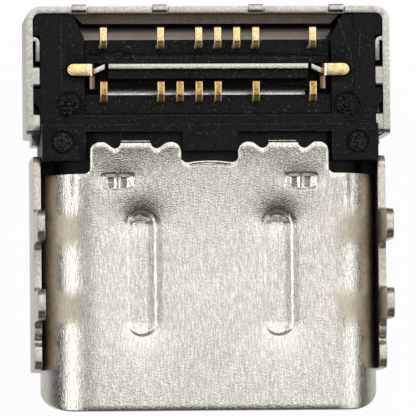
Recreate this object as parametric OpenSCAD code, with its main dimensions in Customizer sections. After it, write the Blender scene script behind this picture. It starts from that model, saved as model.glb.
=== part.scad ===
// Board-mount socket with a stadium mouth, fourteen contacts and a folded steel cover.
// It lies on its cover with the solder side up and the mouth towards -Y, in millimetres.

/* [Shell] */
// Inside width of the mouth
mouth_w = 8.34; // [8:0.02:9]
// Inside height of the mouth
mouth_h = 2.56; // [2.4:0.02:2.9]
// Wall of the drawn shell
shell_t = 0.25; // [0.2:0.01:0.32]
// Length of the shell along its sides
shell_l = 6.19; // [5.8:0.01:7]
// Plan radius of the front corners of the shell
shell_corner_r = 0.55; // [0.3:0.01:0.8]
// How far the rear edge between the tabs runs past the sides
mid_run = 0.34; // [0.2:0.01:0.45]
// How far the two rear tabs run past the sides
tab_run = 0.81; // [0.65:0.01:0.9]
// Width of one rear tab
tab_w = 2.36; // [2.1:0.02:2.5]
// Distance between the centres of the rear tabs
tab_spacing = 3.86; // [3.6:0.02:4]
// Radius of the corners of a rear tab
tab_corner_r = 0.25; // [0.15:0.01:0.35]
// Radius of the half round notches in the edge of a tab
tab_notch_r = 0.16; // [0.1:0.01:0.2]
// Distance between the two notches of one tab
tab_notch_spacing = 1.1; // [0.9:0.02:1.3]

/* [Ribs and stops of the shell] */
// Width of a pressed rib
rib_w = 0.8; // [0.5:0.01:0.9]
// Length of a pressed rib
rib_l = 3.25; // [2.5:0.01:3.4]
// Distance of the ribs from the mouth
rib_start = 2; // [1.5:0.01:2.2]
// Distance between the two ribs
rib_spacing = 3.58; // [3:0.02:4.2]
// Depth of a rib, pressed inwards
rib_depth = 0.08; // [0.04:0.01:0.12]
// Plan width of the sloping flank of a rib
rib_flank = 0.1; // [0.05:0.01:0.15]
// Radius of the half-dome stops
stop_r = 0.45; // [0.35:0.01:0.5]
// Depth of the half-dome stops, pressed inwards
stop_depth = 0.2; // [0.12:0.01:0.25]
// Distance between the two stops
stop_spacing = 4.8; // [4.6:0.02:5]

/* [Outer bracket] */
// Sheet of the bracket
bracket_t = 0.2; // [0.15:0.01:0.25]
// Inside radius of the bends of the bracket
bracket_bend_r = 0.35; // [0.2:0.01:0.45]
// Distance of the bracket from the mouth
bracket_start = 1.1; // [0.9:0.01:1.4]
// How far the side plates run past the sides of the shell
plate_run = 0.5; // [0.4:0.01:0.6]
// Radius of the corners of the side plates
plate_corner_r = 0.25; // [0.1:0.01:0.35]
// Width of a leg
leg_w = 0.79; // [0.6:0.01:0.9]
// How far the legs reach past the board face
leg_reach = 2; // [0.8:0.01:3]
// Distance of the front legs from the mouth
leg_start = 2.74; // [2.6:0.01:3]
// Distance from the front legs to the rear legs
leg_spacing = 2.05; // [1.9:0.01:2.4]
// Radius of the corners of a leg's tip
leg_tip_r = 0.25; // [0.15:0.01:0.29]
// Radius of the fillets at a leg's root
leg_root_r = 0.18; // [0.1:0.01:0.25]
// Radius of the notch in the rim near the front of the side plates
rim_notch_r = 0.14; // [0.08:0.01:0.25]
// Distance of the rim notch from the front of the side plates
rim_notch_start = 0.76; // [0.6:0.01:0.85]

/* [Rear cover] */
// Sheet of the rear cover
cover_t = 0.18; // [0.15:0.01:0.22]
// Length of the rear cover
cover_l = 3.36; // [3.3:0.01:3.6]
// Gap between the side plates of the bracket and the rear cover
cover_gap = 0.57; // [0.5:0.01:0.65]
// Inside radius of the upright corners of the rear cover
cover_corner_r = 0.2; // [0.15:0.01:0.3]
// Inside radius of the bends along the foot of the walls
cover_bend_r = 0.36; // [0.2:0.01:0.4]
// Radius at the front end of the side walls
cover_end_r = 0.12; // [0.08:0.01:0.3]
// How far the rim stops short of the board face
cover_rim_drop = 0.1; // [0.05:0.01:0.2]
// Underside of the rail of an inner strip
rail_low = 0.56; // [0.54:0.01:0.7]
// Top of the rail of an inner strip
rail_top = 1.6; // [1.3:0.01:1.7]
// How far the rails run out of the front of the cover
rail_run = 0.22; // [0.1:0.01:0.25]
// Distance of the front uprights behind the front of the cover
front_upright_start = 0.04; // [0:0.01:0.1]
// Width of a front upright
front_upright_w = 0.53; // [0.4:0.01:0.55]
// Distance of the rear uprights behind the front of the cover
rear_upright_start = 1.25; // [1.2:0.01:1.28]
// Width of a rear upright
rear_upright_w = 0.56; // [0.3:0.01:0.58]
// How far the uprights stop short of the board face
upright_drop = 0.22; // [0.15:0.01:0.4]
// Width of a rim tab
rim_tab_w = 0.37; // [0.25:0.01:0.45]
// Height of a rim tab below the rim
rim_tab_h = 0.3; // [0.2:0.01:0.4]
// Slit at each side of a rim tab
rim_slit_w = 0.05; // [0.03:0.01:0.08]
// How far a rim tab is bent out past the rear wall
rim_tab_proud = 0.04; // [0.02:0.01:0.08]
// Distance between the inner pair of rim tabs
rim_tab_inner = 2.52; // [2:0.02:3]
// Distance between the outer pair of rim tabs
rim_tab_outer = 6.76; // [6:0.02:7]
// Distance of the latch fingers in front of the rear wall
latch_start = 0.62; // [0.5:0.01:0.65]
// Length of a latch finger
latch_l = 0.63; // [0.5:0.01:0.65]
// Sheet left in a latch finger
latch_t = 0.1; // [0.06:0.01:0.14]
// Outside radius of the bend of a latch finger
latch_bend_r = 0.14; // [0.08:0.01:0.15]
// Height of a latch finger
latch_h = 0.75; // [0.5:0.01:0.8]

/* [Contacts] */
// Distance between neighbouring contact positions
pitch = 0.5; // [0.46:0.01:0.52]
// Width of a contact
contact_w = 0.2; // [0.15:0.01:0.24]
// Thickness of a contact
contact_t = 0.12; // [0.08:0.01:0.14]
// Inside radius of the bends of a contact
contact_bend_r = 0.08; // [0.05:0.01:0.12]
// Length of a gull-wing foot
foot_l = 0.55; // [0.4:0.01:0.6]
// Heel of the front feet, behind the sides of the shell
front_heel = 1.91; // [1.88:0.01:1.95]
// Heel of the rear feet, behind the sides of the shell
rear_heel = 3.33; // [3.25:0.01:3.35]
// Height of the board face above the middle of the mouth
board_rise = 1.02; // [0.96:0.01:1.15]

/* [Tongue] */
// Width of the tongue
tongue_w = 6.69; // [6.4:0.01:6.9]
// Thickness of the tongue
tongue_t = 0.7; // [0.66:0.01:0.8]
// Distance of the tongue's tip from the mouth
tongue_start = 1; // [0.8:0.01:1.2]
// Plan radius of the tongue's tip corners
tongue_corner_r = 0.35; // [0.2:0.01:0.5]
// Length of the lead-in at the tip of the tongue
tip_lead = 0.25; // [0.1:0.01:0.3]
// How far the contacts start behind the tip of the tongue
contact_setback = 0.4; // [0.35:0.01:0.5]
// Depth of the latch notches in the tongue's sides
latch_notch_depth = 0.3; // [0.2:0.01:0.35]
// Length of the latch notches
latch_notch_l = 1.5; // [1:0.01:1.6]
// How far the latch notches start behind the tip of the tongue
latch_notch_start = 1.7; // [1.5:0.01:1.8]
// Thickness of the tongue's root
root_t = 1; // [0.95:0.01:1.1]
// Width of the tongue's root
root_w = 5.8; // [5.75:0.01:6.4]
// Length of the tongue's root
root_l = 1.25; // [1:0.01:1.3]
// Sheet of the ground plates
ground_t = 0.1; // [0.06:0.01:0.15]
// Width of the ground plates
ground_w = 5.2; // [4.5:0.02:5.6]
// Height of the upright flange of a ground plate
ground_flange = 0.3; // [0.2:0.01:0.4]

/* [Mid plate] */
// Sheet of the mid plate
plate_t = 0.13; // [0.1:0.01:0.16]
// Width of the mid plate behind the tongue
plate_w = 5.24; // [5:0.02:5.4]
// Inside radius of the bends of the mid plate
plate_bend_r = 0.1; // [0.06:0.01:0.14]
// Rear face of the upright wall, behind the sides of the shell
wall_back = 2.91; // [2.86:0.01:2.93]
// How far the upright wall stops short of the board face
wall_drop = 0.05; // [0.02:0.01:0.15]
// Width of a side foot
side_foot_w = 0.31; // [0.2:0.01:0.35]
// How far the side feet reach to each side
side_foot_reach = 3.7; // [3.5:0.01:3.8]
// Gap between the legs of the side feet and the walls of the pocket
side_leg_gap = 0.15; // [0.1:0.01:0.18]
// Gap between the upright wall and the links at its ends
link_gap = 0.1; // [0.06:0.01:0.12]
// Length of the low step in front of a side foot
side_step_l = 0.32; // [0.2:0.01:0.36]
// How far the low step stops short of the board face
side_step_drop = 0.35; // [0.2:0.01:0.45]

/* [Housing] */
// Gap round the mouldings where they slide into metal
fit = 0.02; // [0.01:0.005:0.03]
// Length of the base block behind the sides of the shell
base_l = 1.57; // [1.5:0.01:1.6]
// Step from the high front part to the low rear part, behind the sides of the shell
step_back = 1.31; // [1.25:0.01:1.35]
// How far the front part stops short of the outside of the shell
front_drop = 0.06; // [0.03:0.01:0.12]
// How far the rear part stops short of the board face
rear_drop = 0.15; // [0.14:0.01:0.3]
// Rear edge of the recesses for the tabs, behind the sides of the shell
recess_back = 1.1; // [1:0.01:1.15]
// Front edge of the high corners, behind the sides of the shell
corner_back = 0.34; // [0.25:0.01:0.45]
// Front edge of the nose between the tabs, behind the sides of the shell
nose_back = 0.6; // [0.5:0.01:0.7]
// Room beside the outermost contacts in the rear pocket
pocket_margin = 0.4; // [0.37:0.01:0.5]
// Thickness of the pocket's floor
floor_t = 0.8; // [0.6:0.01:0.9]
// How far the rear corners' inner edges slant outwards
slant_w = 0.32; // [0.1:0.01:0.4]
// Length of the slanted inner edges
slant_l = 0.6; // [0.4:0.01:0.7]
// Width of the low inner strip of the rear corners
low_strip_w = 0.6; // [0.5:0.01:0.7]
// Front end of the low inner strip, behind the sides of the shell
low_strip_start = 2.2; // [2.2:0.01:2.3]
// Depth of the low inner strip
low_strip_depth = 0.05; // [0.02:0.01:0.08]
// Radius of the round marks on the rear part
rear_mark_r = 0.37; // [0.25:0.01:0.4]
// Width of the ring groove round a rear mark
rear_ring_w = 0.1; // [0.05:0.01:0.2]
// Middle of the rear marks, behind the sides of the shell
rear_mark_back = 1.82; // [1.75:0.01:1.9]
// Radius of the round marks on the front part
front_mark_r = 0.31; // [0.2:0.01:0.34]
// Width of the ring groove round a front mark
front_ring_w = 0.06; // [0.03:0.01:0.12]
// Middle of the front marks, behind the sides of the shell
front_mark_back = 0.82; // [0.75:0.01:0.9]
// Plastic outside the front marks
front_mark_margin = 0.23; // [0.18:0.01:0.4]
// Depth of the ring grooves
mark_depth = 0.08; // [0.02:0.01:0.12]
// Slope at the front of the rib that reaches the wall of the rear cover
bulge_slope = 0.25; // [0.1:0.01:0.3]
// Height of a carrier above its row of contacts
carrier_cap = 0.42; // [0.3:0.01:0.5]
// Length of the front carrier
front_carrier_l = 0.54; // [0.45:0.01:0.58]
// Thickness of the ledge behind the front carrier
ledge_t = 0.12; // [0.08:0.01:0.3]
// Length of the slot between the ledge and its carrier
ledge_slot_l = 0.26; // [0.1:0.01:0.3]
// Width of the arms at the ends of that slot
ledge_arm_w = 0.15; // [0.08:0.01:0.3]
// How far the lip in front of the upright wall stops short of the board face
lip_drop = 0.2; // [0.18:0.01:0.4]
// Length of the rear carrier's upright wall
rear_wall_l = 0.63; // [0.5:0.01:0.66]

/* [Hidden] */
$fn = 48;
cut = 0.1;
a_row = [1, 4, 5, 6, 7, 9, 12];
b_row = [1, 4, 5, 6, 7, 9, 12];
positions = 12;

shell_w = mouth_w + 2 * shell_t;
shell_h = mouth_h + 2 * shell_t;
bracket_w = shell_w + 2 * bracket_t;
cover_inner_w = shell_w + 2 * cover_t;
cover_w = cover_inner_w + 2 * cover_t;
shell_top = bracket_t + shell_h;
mouth_top = shell_top - shell_t;
mid_z = bracket_t + shell_h / 2;
board_z = mid_z + board_rise;
plate_back = shell_l + plate_run;
cover_front = plate_back + cover_gap;
cover_back = cover_front + cover_l;
cover_rim_z = board_z - cover_rim_drop;
overall_l = cover_back + rim_tab_proud;
housing_w = shell_w - 2 * fit;
housing_back = cover_back - cover_t - fit;
base_front = shell_l + fit;
base_back = shell_l + base_l;
step_y = shell_l + step_back;
front_z = shell_top - front_drop;
rear_z = board_z - rear_drop;
pocket_w = (positions - 1) * pitch + contact_w + 2 * pocket_margin;
carrier_w = pocket_w - 2 * fit;
plate_low = mid_z - plate_t / 2;
plate_high = mid_z + plate_t / 2;
wall_y = shell_l + wall_back;
rear_wall_front = wall_y + 2 * fit;
rear_wall_back = rear_wall_front + rear_wall_l;
floor_top = bracket_t + floor_t;
contact_start = tongue_start + contact_setback;
side_leg_x = pocket_w / 2 - side_leg_gap;
plate_outer_r = plate_bend_r + plate_t;
latch_back = cover_back - cover_t - latch_start;

// Moves a piece from the mouth's plane to the middle of the socket
module seat() {
    translate([0, -overall_l / 2, 0]) children();
}

// Draws a profile of Y and Z across the width, from x
module across(x, w) {
    translate([x, 0, 0]) rotate([90, 0, 90]) linear_extrude(w) children();
}

// Draws a profile of X and Z backwards, from y
module along(y, l) {
    translate([0, y + l, 0]) rotate([90, 0, 0]) linear_extrude(l) children();
}

// Draws a plan of X and Y upwards, between two heights
module upright(low, high) {
    translate([0, 0, low]) linear_extrude(high - low) children();
}

// The right half and its mirror image
module both_sides() {
    children();
    mirror([1, 0, 0]) children();
}

// Rectangle with round corners at its far end
module round_end(x, y, w, l, r) {
    translate([x, y]) square([w, l - r]);
    translate([x + r, y]) square([w - 2 * r, l]);
    translate([x + r, y + l - r]) circle(r);
    translate([x + w - r, y + l - r]) circle(r);
}

// Concave fillet in the corner at x and y, towards the given signs
module fillet(x, y, r, sx, sy) {
    translate([x, y]) scale([sx, sy]) difference() {
        square(r);
        translate([r, r]) circle(r);
    }
}

module stadium(w, h) {
    translate([-(w - h) / 2, mid_z - h / 2]) square([w - h, h]);
    for (s = [-1, 1]) translate([s * (w - h) / 2, mid_z]) circle(h / 2);
}

// Folded edge of a sheet: a flat base, a bend and a wall with its outer face at x = 0
module folded_edge(t, r, base_w, wall_h) {
    outer = r + t;
    translate([-t, outer]) square([t, wall_h - outer]);
    translate([-base_w, 0]) square([base_w - outer, t]);
    translate([-outer, outer]) intersection() {
        difference() {
            circle(outer);
            circle(r);
        }
        translate([0, -outer]) square(outer);
    }
}

// Strip that runs along y, turns up at the heel and runs on as a foot at the top
module stepped_strip(start, low, t, r, heel, top, end) {
    outer = r + t;
    turn = heel - r;
    translate([start, low]) square([turn - start, t]);
    translate([turn, low + outer]) quarter_bend(t, r, 1, -1);
    translate([heel, low + outer]) square([t, top - low - 2 * outer]);
    translate([heel + outer, top - outer]) quarter_bend(t, r, -1, 1);
    translate([heel + outer, top - t]) square([end - heel - outer, t]);
}

module quarter_bend(t, r, sy, sz) {
    intersection() {
        difference() {
            circle(r + t);
            circle(r);
        }
        scale([sy, sz]) square(r + t);
    }
}

// Plan of the board side of the shell
module shell_plan(with_tabs) {
    translate([0, shell_l]) mirror([0, 1]) round_end(-shell_w / 2, 0, shell_w, shell_l, shell_corner_r);
    tab_out = (tab_spacing + tab_w) / 2;
    translate([-tab_out, shell_l - cut]) square([2 * tab_out, mid_run + cut]);
    if (with_tabs) both_sides() tab_plan(tab_out);
}

module tab_plan(tab_out) {
    difference() {
        round_end(tab_out - tab_w, shell_l - cut, tab_w, tab_run + cut, tab_corner_r);
        for (s = [-1, 1])
            translate([(tab_spacing + s * tab_notch_spacing) / 2, shell_l + tab_run]) circle(tab_notch_r);
    }
    fillet(tab_out, shell_l, tab_notch_r, 1, 1);
    fillet(tab_out - tab_w, shell_l + mid_run, tab_notch_r, -1, 1);
}

// Solid that a rib displaces, with its floor at the given height
module rib_form(floor_z) {
    r = rib_w / 2;
    for (s = [-1, 1]) translate([s * rib_spacing / 2, 0, floor_z]) {
        along(rib_start + r, rib_l - 2 * r)
            polygon([[rib_flank - r, 0], [r - rib_flank, 0], [r, rib_depth], [-r, rib_depth]]);
        translate([0, rib_start + r, 0]) cylinder(h = rib_depth, r1 = r - rib_flank, r2 = r);
        translate([0, rib_start + rib_l - r, 0]) cylinder(h = rib_depth, r1 = r - rib_flank, r2 = r);
    }
}

// Half domes whose flat sheared faces look to the mouth
module stop_form(face_z) {
    dome_r = (stop_r * stop_r + stop_depth * stop_depth) / (2 * stop_depth);
    intersection() {
        for (s = [-1, 1])
            translate([s * stop_spacing / 2, shell_l - stop_r, face_z - stop_depth + dome_r]) sphere(dome_r);
        translate([-shell_w / 2, shell_l - stop_r, face_z - stop_depth])
            cube([shell_w, stop_r, stop_depth]);
    }
}

module front_shell() {
    color("silver") seat() difference() {
        union() {
            difference() {
                intersection() {
                    along(0, shell_l + tab_run) stadium(shell_w, shell_h);
                    union() {
                        upright(0, mid_z) shell_plan(false);
                        upright(mid_z, shell_top + cut) shell_plan(true);
                    }
                }
                along(-cut, shell_l + tab_run + 2 * cut) stadium(mouth_w, mouth_h);
            }
            rib_form(mouth_top - rib_depth);
            stop_form(mouth_top);
        }
        rib_form(shell_top - rib_depth);
        stop_form(shell_top);
    }
}

// Side view of the bracket: a plate with two legs and a notch in its rim
module bracket_side() {
    plate_l = plate_back - bracket_start;
    difference() {
        round_end(bracket_start, 0, plate_l, board_z, plate_corner_r);
        translate([bracket_start + rim_notch_start, board_z]) circle(rim_notch_r);
    }
    for (y = [leg_start, leg_start + leg_spacing]) {
        round_end(y - leg_w / 2, board_z - cut, leg_w, leg_reach + cut, leg_tip_r);
        fillet(y - leg_w / 2, board_z, leg_root_r, -1, 1);
        fillet(y + leg_w / 2, board_z, leg_root_r, 1, 1);
    }
}

module outer_bracket() {
    color("lightgray") seat() intersection() {
        along(bracket_start, plate_back - bracket_start) both_sides()
            translate([bracket_w / 2, 0])
                folded_edge(bracket_t, bracket_bend_r, bracket_w / 2, board_z + leg_reach);
        across(-bracket_w / 2, bracket_w) bracket_side();
    }
}

// Block with the outline of the tray, smaller by t on its closed sides and longer by run at the front
module tray_block(t, top, run) {
    w = cover_w - 2 * t;
    front = cover_front - run;
    back = cover_back - t;
    bend_r = cover_bend_r + cover_t - t;
    intersection() {
        upright(t, top) round_end(-w / 2, front, w, back - front, cover_corner_r + cover_t - t);
        along(front, back - front)
            translate([0, top]) mirror([0, 1]) round_end(-w / 2, 0, w, top - t, bend_r);
        across(-w / 2, w) {
            translate([front, t]) square([back - front - bend_r, top - t]);
            translate([front, t + bend_r]) square([back - front, top - t - bend_r]);
            translate([back - bend_r, t + bend_r]) circle(bend_r);
        }
    }
}

// Tray with a U-shaped wall, rounded at its foot and at its upright corners
module cover_tray() {
    difference() {
        tray_block(0, cover_rim_z, 0);
        tray_block(cover_t, cover_rim_z + cut, cut);
    }
}

// Strip welded to the inside of a side wall: a low rail with two uprights
module inner_strip() {
    upright_h = board_z - upright_drop - rail_low;
    rail_l = rail_run + rear_upright_start + rear_upright_w;
    across(cover_inner_w / 2 - cover_t, cover_t) {
        translate([cover_front - rail_run, rail_low]) square([rail_l, rail_top - rail_low]);
        translate([cover_front + front_upright_start, 0])
            round_end(0, rail_low, front_upright_w, upright_h, cover_t / 2);
        translate([cover_front + rear_upright_start, 0])
            round_end(0, rail_low, rear_upright_w, upright_h, cover_t / 2);
    }
}

// Latch finger that leaves the side wall at its rear end and turns forwards along the housing
module latch_finger() {
    inner_x = cover_inner_w / 2 - cover_t;
    start = latch_back - latch_l;
    latch_top = cover_rim_z - cover_rim_drop;
    upright(latch_top - latch_h, latch_top) difference() {
        union() {
            translate([inner_x, start]) square([cover_t, latch_l - latch_bend_r]);
            translate([inner_x + latch_bend_r, start]) square([cover_t - latch_bend_r, latch_l]);
            translate([inner_x + latch_bend_r, latch_back - latch_bend_r]) circle(latch_bend_r);
        }
        translate([inner_x + latch_t, start - cut]) square([cover_t - latch_t, latch_l - latch_t + cut]);
    }
}

module rear_cover() {
    tab_places = [rim_tab_inner / 2, rim_tab_outer / 2];
    color("gainsboro") seat() {
        difference() {
            intersection() {
                cover_tray();
                across(-cover_w / 2, cover_w) translate([cover_back, 0]) mirror([1, 0]) {
                    square([cover_l - cover_end_r, cover_rim_z]);
                    square([cover_l, cover_rim_z - cover_end_r]);
                    translate([cover_l - cover_end_r, cover_rim_z - cover_end_r]) circle(cover_end_r);
                }
            }
            both_sides() for (x = tab_places) rim_tab_gap(x);
        }
        both_sides() {
            inner_strip();
            latch_finger();
            for (x = tab_places) rim_tab(x);
        }
    }
}

// Gap in the rim that a rim tab is bent out of
module rim_tab_gap(x) {
    gap_w = rim_tab_w + 2 * rim_slit_w;
    translate([x - gap_w / 2, cover_back - cover_t - cut, cover_rim_z - rim_tab_h])
        cube([gap_w, cover_t + 2 * cut, rim_tab_h + cut]);
}

// Tab bent out of the rim of the rear wall
module rim_tab(x) {
    tab_low = cover_rim_z - rim_tab_h;
    across(x - rim_tab_w / 2, rim_tab_w) translate([cover_back - cover_t + rim_tab_proud, 0])
        round_end(0, tab_low, cover_t, board_z - tab_low, cover_t / 4);
}

// Plan of the tongue, with the latch notches in its sides
module tongue_plan(start, back, w) {
    difference() {
        translate([0, back]) mirror([0, 1]) round_end(-w / 2, 0, w, back - start, tongue_corner_r);
        both_sides() translate([w / 2 - latch_notch_depth, tongue_start + latch_notch_start])
            square([latch_notch_depth + cut, latch_notch_l]);
    }
}

module tongue() {
    half = tongue_t / 2;
    tip = half - tip_lead / 2;
    intersection() {
        across(-tongue_w / 2, tongue_w) polygon([
            [tongue_start, mid_z - tip],
            [tongue_start + tip_lead, mid_z - half],
            [base_front + cut, mid_z - half],
            [base_front + cut, mid_z + half],
            [tongue_start + tip_lead, mid_z + half],
            [tongue_start, mid_z + tip]
        ]);
        upright(mid_z - tongue_t, mid_z + tongue_t) tongue_plan(tongue_start, base_front + cut, tongue_w);
    }
    along(base_front - root_l, root_l + cut)
        translate([-root_w / 2, mid_z - root_t / 2]) square([root_w, root_t]);
}

// Corner block behind the step, with a slanted inner edge and an ear that fills the corner of the cover
module rear_corner_plan() {
    inner = pocket_w / 2;
    ear_x = cover_inner_w / 2 - fit;
    ear_front = latch_back + 2 * fit;
    difference() {
        union() {
            translate([inner, step_y]) square([housing_w / 2 - inner, latch_back - step_y + cut]);
            round_end(inner, ear_front, ear_x - inner, housing_back - ear_front, cover_corner_r);
        }
        polygon([
            [inner - cut, housing_back - slant_l],
            [inner, housing_back - slant_l],
            [inner + slant_w, housing_back],
            [inner + slant_w, housing_back + cut],
            [inner - cut, housing_back + cut]
        ]);
    }
}

// High front part that reaches up round the rear tabs of the shell
module front_part_plan() {
    recess_y = shell_l + recess_back;
    corner_y = shell_l + corner_back;
    recess_w = tab_spacing + tab_w + 2 * tab_notch_r;
    nose_w = tab_spacing - tab_w - 2 * fit;
    translate([-housing_w / 2, recess_y]) square([housing_w, step_y - recess_y]);
    both_sides() translate([recess_w / 2, corner_y])
        square([(housing_w - recess_w) / 2, recess_y - corner_y + cut]);
    translate([-nose_w / 2, shell_l + nose_back]) square([nose_w, recess_back - nose_back + cut]);
}

// Slots for what is moulded into the housing
module housing_slots() {
    for (k = a_row) contact_slot(a_x(k), mid_z - tongue_t / 2);
    for (k = b_row) contact_slot(b_x(k), mid_z + tongue_t / 2 - contact_t);
    upright(plate_low, plate_high) mid_plate_plan(base_back + cut);
}

module contact_slot(x, low) {
    translate([x - contact_w / 2, contact_start, low])
        cube([contact_w, base_back + cut - contact_start, contact_t]);
}

// Ring grooves round the marks of the ejector pins
module round_marks() {
    rear_x = pocket_w / 2 + rear_mark_r + fit;
    front_x = housing_w / 2 - front_mark_r - front_mark_margin;
    both_sides() {
        translate([rear_x, shell_l + rear_mark_back, rear_z]) ring_groove(rear_mark_r, rear_ring_w);
        translate([front_x, shell_l + front_mark_back, front_z]) ring_groove(front_mark_r, front_ring_w);
    }
}

module ring_groove(r, w) {
    translate([0, 0, -mark_depth]) linear_extrude(mark_depth + cut) difference() {
        circle(r);
        circle(r - w);
    }
}

// Slot in a rear corner that leaves room under a side foot
module side_foot_slot() {
    slot_w = side_foot_w + 4 * fit;
    end_x = side_foot_reach + 2 * fit - slot_w / 2;
    slot_y = wall_y - side_foot_w / 2;
    both_sides() upright(rear_z - 2 * rear_drop, rear_z + cut) {
        translate([pocket_w / 2 - cut, slot_y - slot_w / 2]) square([end_x - pocket_w / 2 + cut, slot_w]);
        translate([end_x, slot_y]) circle(slot_w / 2);
    }
}

module housing() {
    side_low = bracket_t + bracket_bend_r + 2 * fit;
    corner_low = cover_t + cover_bend_r + 2 * fit;
    color("#1d1d1f") seat() difference() {
        union() {
            tongue();
            along(base_front, base_l - fit) stadium(mouth_w - 2 * fit, mouth_h - 2 * fit);
            along(base_front, step_y - base_front)
                translate([-housing_w / 2, side_low]) square([housing_w, rear_z - side_low - bracket_bend_r]);
            upright(mid_z, front_z) front_part_plan();
            upright(cover_t, floor_top) translate([-pocket_w / 2, step_y])
                square([pocket_w, rear_wall_back - step_y]);
            both_sides() {
                upright(corner_low, rear_z) rear_corner_plan();
                upright(floor_top, rear_z)
                    translate([0, step_y]) square([pocket_w / 2 + cut, base_back - step_y]);
                wall_bulge();
            }
        }
        housing_slots();
        round_marks();
        side_foot_slot();
        both_sides() low_strip();
    }
}

// Rib on the corner's side that reaches the wall of the rear cover between the uprights
module wall_bulge() {
    start = cover_front + front_upright_start + front_upright_w + 2 * fit;
    end = cover_front + rear_upright_start - 2 * fit;
    inner = housing_w / 2;
    outer = cover_inner_w / 2 - fit;
    upright(rail_top + 2 * fit, rear_z - low_strip_depth) polygon([
        [inner - cut, start],
        [inner, start],
        [outer, start + bulge_slope],
        [outer, end],
        [inner - cut, end]
    ]);
}

module low_strip() {
    strip_y = shell_l + low_strip_start;
    upright(rear_z - low_strip_depth, rear_z + cut)
        translate([pocket_w / 2 - cut, strip_y]) square([low_strip_w + cut, housing_back - strip_y + cut]);
}

// Row positions seen from the board side: one row is numbered from each side
function a_x(k) = ((positions + 1) / 2 - k) * pitch;
function b_x(k) = (k - (positions + 1) / 2) * pitch;

module contact(x, low, heel) {
    color("#d8a548") seat() across(x - contact_w / 2, contact_w)
        stepped_strip(contact_start, low, contact_t, contact_bend_r, heel, board_z, heel + foot_l);
}

module contact_a(k) {
    contact(a_x(k), mid_z - tongue_t / 2, shell_l + rear_heel);
}

module contact_b(k) {
    contact(b_x(k), mid_z + tongue_t / 2 - contact_t, shell_l + front_heel);
}

module front_carrier() {
    color("#262628") seat() difference() {
        union() {
            translate([-carrier_w / 2, base_back, plate_high])
                cube([carrier_w, front_carrier_l, tongue_t / 2 + carrier_cap - plate_t / 2]);
            upright(plate_high, plate_high + ledge_t) ledge_plan();
            across(-plate_w / 2, plate_w) lip_profile();
        }
        for (k = b_row) across(b_x(k) - contact_w / 2, contact_w)
            stepped_strip(contact_start, mid_z + tongue_t / 2 - contact_t, contact_t, contact_bend_r,
                shell_l + front_heel, board_z, shell_l + front_heel + foot_l);
    }
}

// Plan of the ledge that covers the mid plate, with a slot next to the carrier
module ledge_plan() {
    start = base_back + front_carrier_l;
    back = wall_y - plate_outer_r - fit;
    reach = side_leg_x - plate_outer_r - fit;
    slot_reach = reach - ledge_arm_w;
    difference() {
        translate([-reach, start - cut]) square([2 * reach, back - start + cut]);
        translate([-slot_reach, start]) square([2 * slot_reach, ledge_slot_l]);
    }
}

// Lip of the ledge that rises in front of the upright wall, clear of its bend
module lip_profile() {
    back = wall_y - plate_outer_r - fit;
    wall_front = wall_y - plate_t - fit;
    bend_top = plate_high + plate_bend_r + fit;
    lip_top = board_z - lip_drop;
    polygon([
        [back - ledge_t, plate_high],
        [back, plate_high],
        [back, bend_top],
        [wall_front, bend_top],
        [wall_front, lip_top],
        [back - ledge_t, lip_top]
    ]);
}

module rear_carrier() {
    top = mid_z + tongue_t / 2 + carrier_cap - 2 * contact_t;
    color("#262628") seat() difference() {
        union() {
            translate([-carrier_w / 2, base_back, floor_top])
                cube([carrier_w, rear_wall_back - base_back, plate_low - floor_top]);
            translate([-carrier_w / 2, rear_wall_front, floor_top])
                cube([carrier_w, rear_wall_l, top - floor_top]);
        }
        for (k = a_row) across(a_x(k) - contact_w / 2, contact_w)
            stepped_strip(contact_start, mid_z - tongue_t / 2, contact_t, contact_bend_r,
                shell_l + rear_heel, board_z, shell_l + rear_heel + foot_l);
    }
}

// Flat part of the mid plate, with its edges flush in the tongue's sides
module mid_plate_plan(back) {
    tongue_plan(contact_start, base_front - root_l, tongue_w);
    translate([-plate_w / 2, base_front - root_l - cut]) square([plate_w, back - base_front + root_l + cut]);
}

module mid_plate() {
    foot_front = wall_y - side_foot_w;
    wing_front = foot_front - side_step_l;
    color("#b9b9b4") seat() {
        upright(plate_low, plate_high) {
            mid_plate_plan(wing_front);
            translate([-plate_w / 2, wing_front - cut]) square([plate_w, foot_front - wing_front + cut]);
        }
        across(-plate_w / 2, plate_w) rear_wall_profile(foot_front);
        both_sides() {
            side_foot();
            along(wing_front, side_step_l + cut) side_step_profile();
            upright(mid_z, board_z - 2 * wall_drop) side_link();
        }
    }
}

// Short link that points from a side leg to the end of the upright wall
module side_link() {
    leg_x = side_leg_x - plate_t;
    leg_y = wall_y - side_foot_w / 2;
    end_x = plate_w / 2 + link_gap;
    polygon([
        [leg_x + cut, leg_y - plate_t],
        [leg_x + cut, leg_y],
        [end_x, wall_y],
        [end_x, wall_y - plate_t]
    ]);
}

// Upright wall at the rear edge of the mid plate
module rear_wall_profile(start) {
    outer = plate_outer_r;
    translate([start - cut, plate_low]) square([wall_y - outer - start + cut, plate_t]);
    translate([wall_y - outer, plate_low + outer]) quarter_bend(plate_t, plate_bend_r, 1, -1);
    translate([wall_y - plate_t, plate_low + outer])
        square([plate_t, board_z - wall_drop - plate_low - outer]);
}

// Leg at the side of the mid plate, bent out to a foot with a round tip
module side_foot() {
    r = side_foot_w / 2;
    start = plate_w / 2 - cut;
    heel = side_leg_x - plate_t;
    intersection() {
        along(wall_y - side_foot_w, side_foot_w)
            stepped_strip(start, plate_low, plate_t, plate_bend_r, heel, board_z, side_foot_reach);
        upright(plate_low - cut, board_z + cut) {
            translate([start, wall_y - side_foot_w]) square([side_foot_reach - r - start, side_foot_w]);
            translate([side_foot_reach - r, wall_y - r]) circle(r);
        }
    }
}

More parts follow.
